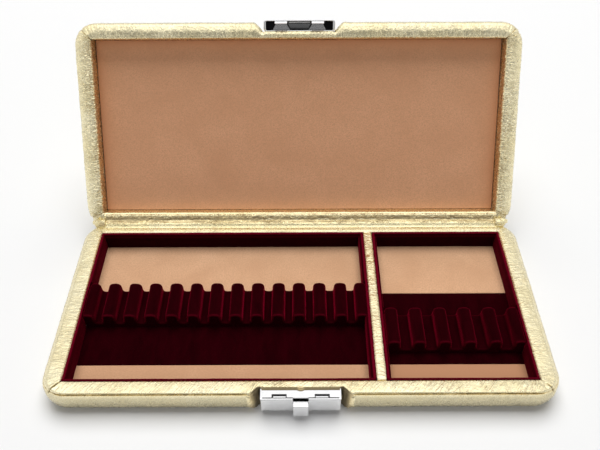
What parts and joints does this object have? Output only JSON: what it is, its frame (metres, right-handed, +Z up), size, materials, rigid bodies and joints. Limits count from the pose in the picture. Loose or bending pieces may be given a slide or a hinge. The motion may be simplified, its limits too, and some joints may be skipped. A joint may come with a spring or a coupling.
{
  "type": "oboe reed case",
  "caption": "Flat leather-covered reed case with a hinged lid, a lever latch, and two velvet-lined compartments that hold ribbed reed racks.",
  "frame": {"origin": "centre of the flat underside of the base", "axes": "+X to the right along the length, +Y towards the hinge, +Z up"},
  "size_m": [0.224, 0.1695, 0.1022],
  "materials": {
    "board": "bare fibreboard and beech",
    "gold_leather": "metallic pale gold leather with a fine crinkled grain",
    "velvet": "short pile velvet",
    "suede": "matt suede",
    "lid_suede": "matt suede",
    "chrome": "bright plated steel",
    "hinge_steel": "satin steel"
  },
  "bodies": {
    "base": {"base_front_board": "board", "base_back_board": "board", "base_left_board": "board", "base_right_board": "board", "base_bottom_board": "board", "divider_board": "board", "base_leather_front": "gold_leather", "base_leather_back": "gold_leather", "base_leather_left": "gold_leather", "base_leather_right": "gold_leather", "base_leather_bottom": "gold_leather", "divider_leather": "gold_leather", "left_liner_front": "velvet", "left_liner_back": "velvet", "left_liner_left": "velvet", "left_liner_right": "velvet", "right_liner_front": "velvet", "right_liner_back": "velvet", "right_liner_left": "velvet", "right_liner_right": "velvet", "left_floor_velvet": "velvet", "right_floor_velvet": "velvet", "left_suede_front": "suede", "left_suede_back": "suede", "right_suede_front": "suede", "right_suede_back": "suede", "left_rack_bar": "board", "left_rack_ribs": "board", "left_rack_velvet": "velvet", "right_rack_bar": "board", "right_rack_ribs": "board", "right_rack_velvet": "velvet", "hinge_base_leaf": "hinge_steel", "hinge_base_screws": "hinge_steel", "hinge_pin": "hinge_steel", "hinge_gusset": "gold_leather", "hinge_spine": "gold_leather", "latch_housing": "chrome", "latch_back_plate": "chrome", "latch_rivets": "chrome", "latch_pin": "hinge_steel", "latch_spring": "hinge_steel"},
    "lid": {"lid_front_board": "board", "lid_back_board": "board", "lid_left_board": "board", "lid_right_board": "board", "lid_top_board": "board", "lid_leather_front": "gold_leather", "lid_leather_back": "gold_leather", "lid_leather_left": "gold_leather", "lid_leather_right": "gold_leather", "lid_leather_top": "gold_leather", "lid_suede_panel": "lid_suede", "hinge_lid_leaf": "hinge_steel", "hinge_lid_screws": "hinge_steel", "lid_latch_cover": "chrome", "lid_lug_bracket": "chrome", "lid_latch_rivets": "chrome"},
    "catch": {"catch_lever": "chrome"}
  },
  "joints": [
    {"name": "lid_hinge", "type": "hinge", "parent": "base", "child": "lid", "pos_m": [0, 0.05037, 0.0129], "axis": [1, 0, 0], "range_deg": [0, 122], "deforming": ["hinge_gusset", "hinge_spine"]},
    {"name": "catch_pivot", "type": "hinge", "parent": "base", "child": "catch", "pos_m": [0, -0.0512, 0.0061], "axis": [-1, 0, 0], "range_deg": [0, 15], "stiffness_Nm_per_rad": 0.02, "springref_deg": -17.19, "deforming": ["latch_spring"]}
  ]
}
